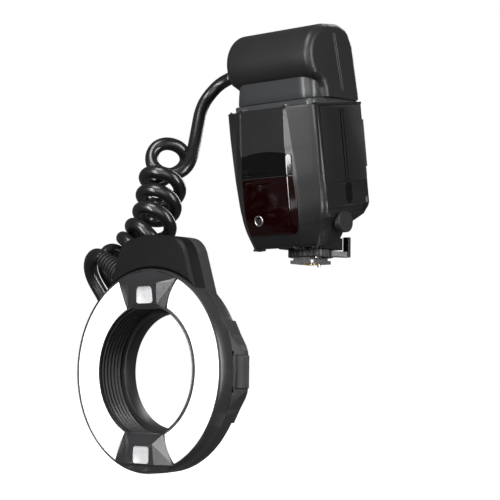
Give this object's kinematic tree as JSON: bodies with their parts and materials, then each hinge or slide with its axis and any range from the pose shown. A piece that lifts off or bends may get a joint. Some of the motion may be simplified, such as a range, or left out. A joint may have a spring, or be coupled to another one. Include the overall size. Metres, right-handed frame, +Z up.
{
  "type": "macro ring flash",
  "caption": "Macro ring flash: a shoe-mounted control unit with battery door and tilted head, joined by a curly cord to a lens-mounted ring light with frosted panels.",
  "frame": {"origin": "centre of the shoe foot's underside", "axes": "+Z up, -Y towards the subject (the way the ring shines), +X towards the battery door's side"},
  "size_m": [0.136, 0.16, 0.2608],
  "materials": {
    "casing_black": "fine spark texture, satin",
    "head_black": "fine grain, matt",
    "neck_grey": "satin",
    "window_black": "polished, smoked",
    "window_red": "polished, deep red filter",
    "lens_clear": "polished",
    "diffuser_white": "frosted opal",
    "lamp_lens": "frosted, slightly grey",
    "segment_grey": "satin",
    "hump_black": "fine grain, matt",
    "ring_black": "satin, fine grain",
    "sleeve_black": "matt, ribbed",
    "rubber_black": "matt",
    "cord_black": "semi-gloss jacket",
    "metal_bright": "nickel plated",
    "metal_black": "black anodised",
    "contact_gold": "gold plated",
    "tube_glass": "clear",
    "reflector_bright": "bright rolled",
    "board_green": "solder resist",
    "ceramic": "lamp phosphor",
    "copper": "enamelled winding",
    "can_sleeve": "shrink sleeve",
    "cell_wrap": "plain printed wrap",
    "lcd_grey": "liquid crystal",
    "key_grey": "soft matt"
  },
  "bodies": {
    "control_unit": {"assist_lamp": "lens_clear", "battery_cage": "hump_black", "battery_cells": "cell_wrap", "bay_contacts": "metal_bright", "casing_screws": "metal_black", "charging_transformer": "copper", "cord_coil": "cord_black", "cord_gland": "rubber_black", "cord_lead": "cord_black", "display_module": "lcd_grey", "display_window": "window_black", "foot_base": "casing_black", "foot_plate": "metal_bright", "front_casing": "casing_black", "front_window": "window_black", "head_front_cover": "head_black", "head_rear_cover": "head_black", "key_board": "board_green", "main_board": "board_green", "main_capacitor": "can_sleeve", "neck_collar": "neck_grey", "rear_casing": "casing_black", "red_window": "window_red", "sensor_bezel": "metal_bright", "sensor_lens": "lens_clear", "side_terminal": "metal_black"},
    "ring_head": {"front_frame": "segment_grey", "diffuser_left": "diffuser_white", "diffuser_right": "diffuser_white", "upper_lamp_window": "lamp_lens", "lower_lamp_window": "lamp_lens", "modelling_lamps": "ceramic", "bore_sleeve": "sleeve_black", "flash_tube_left": "tube_glass", "flash_tube_right": "tube_glass", "reflector_left": "reflector_bright", "reflector_right": "reflector_bright", "ring_board": "board_green", "ring_rear_cover": "ring_black", "hump_cover": "hump_black", "strain_relief": "rubber_black", "button_springs": "metal_bright", "ring_screws": "metal_black", "cord_tail": "cord_black"},
    "adapter": {"adapter_ring": "metal_black"},
    "release_right": {"release_button_right": "ring_black"},
    "release_left": {"release_button_left": "ring_black"},
    "mode_key": {"mode_button": "key_grey"},
    "minus_key": {"minus_button": "key_grey"},
    "plus_key": {"plus_button": "key_grey"},
    "test_key": {"test_button": "key_grey"},
    "lamp_key": {"lamp_button": "key_grey"},
    "power_slider": {"power_switch": "segment_grey"},
    "door_carriage": {"door_hinge_pin": "metal_bright"},
    "door": {"battery_door": "casing_black", "door_contacts": "metal_bright"},
    "cap": {"terminal_cap": "rubber_black"},
    "lever": {"lock_lever": "metal_black"},
    "locking_pin": {"lock_pin": "metal_bright"},
    "shoe_contacts": {"contact_pins": "contact_gold"}
  },
  "joints": [
    {"name": "reach", "type": "slide", "parent": "control_unit", "child": "ring_head", "axis": [0, -1, 0], "range_m": [0, 0.08], "stiffness_N_per_m": 15, "deforming": ["cord_coil", "cord_tail"]},
    {"name": "adapter_turn", "type": "hinge", "parent": "ring_head", "child": "adapter", "pos_m": [0, -0.138, -0.066], "axis": [0, 1, 0], "continuous": true},
    {"name": "release_right_press", "type": "slide", "parent": "ring_head", "child": "release_right", "axis": [-1, 0, 0], "range_m": [0, 0.002], "stiffness_N_per_m": 900, "springref_m": -0.0015, "deforming": ["button_springs"]},
    {"name": "release_left_press", "type": "slide", "parent": "ring_head", "child": "release_left", "axis": [1, 0, 0], "range_m": [0, 0.002], "stiffness_N_per_m": 900, "springref_m": -0.0015, "deforming": ["button_springs"]},
    {"name": "mode_press", "type": "slide", "parent": "control_unit", "child": "mode_key", "axis": [0, -0.9877, -0.1564], "range_m": [0, 0.0006], "stiffness_N_per_m": 600, "springref_m": -0.0006},
    {"name": "minus_press", "type": "slide", "parent": "control_unit", "child": "minus_key", "axis": [0, -0.9877, -0.1564], "range_m": [0, 0.0006], "stiffness_N_per_m": 600, "springref_m": -0.0006},
    {"name": "plus_press", "type": "slide", "parent": "control_unit", "child": "plus_key", "axis": [0, -0.9877, -0.1564], "range_m": [0, 0.0006], "stiffness_N_per_m": 600, "springref_m": -0.0006},
    {"name": "test_press", "type": "slide", "parent": "control_unit", "child": "test_key", "axis": [0, -0.9877, -0.1564], "range_m": [0, 0.0006], "stiffness_N_per_m": 600, "springref_m": -0.0006},
    {"name": "lamp_press", "type": "slide", "parent": "control_unit", "child": "lamp_key", "axis": [0, -0.9877, -0.1564], "range_m": [0, 0.0006], "stiffness_N_per_m": 600, "springref_m": -0.0006},
    {"name": "power_slide", "type": "slide", "parent": "control_unit", "child": "power_slider", "axis": [1, 0, 0], "range_m": [0, 0.005]},
    {"name": "door_slide", "type": "slide", "parent": "control_unit", "child": "door_carriage", "axis": [0, 0.1564, -0.9877], "range_m": [0, 0.003]},
    {"name": "door_swing", "type": "hinge", "parent": "door_carriage", "child": "door", "pos_m": [0.0325, 0.0091, 0.07231], "axis": [0, -0.1564, 0.9877], "range_deg": [0, 100]},
    {"name": "cap_pull", "type": "slide", "parent": "control_unit", "child": "cap", "axis": [1, 0, 0], "range_m": [0, 0.006]},
    {"name": "lever_turn", "type": "hinge", "parent": "control_unit", "child": "lever", "pos_m": [0, 0, 0.006], "axis": [0, 0, 1], "range_deg": [0, 60]},
    {"name": "lock_pin_lift", "type": "slide", "parent": "control_unit", "child": "locking_pin", "axis": [0, 0, 1], "range_m": [0, 0.0013]},
    {"name": "contact_lift", "type": "slide", "parent": "control_unit", "child": "shoe_contacts", "axis": [0, 0, 1], "range_m": [0, 0.0005], "stiffness_N_per_m": 500, "springref_m": -0.0008}
  ],
  "couplings": [
    {"joint": "lock_pin_lift", "follows": "lever_turn", "m_per_rad": 0.00124}
  ]
}
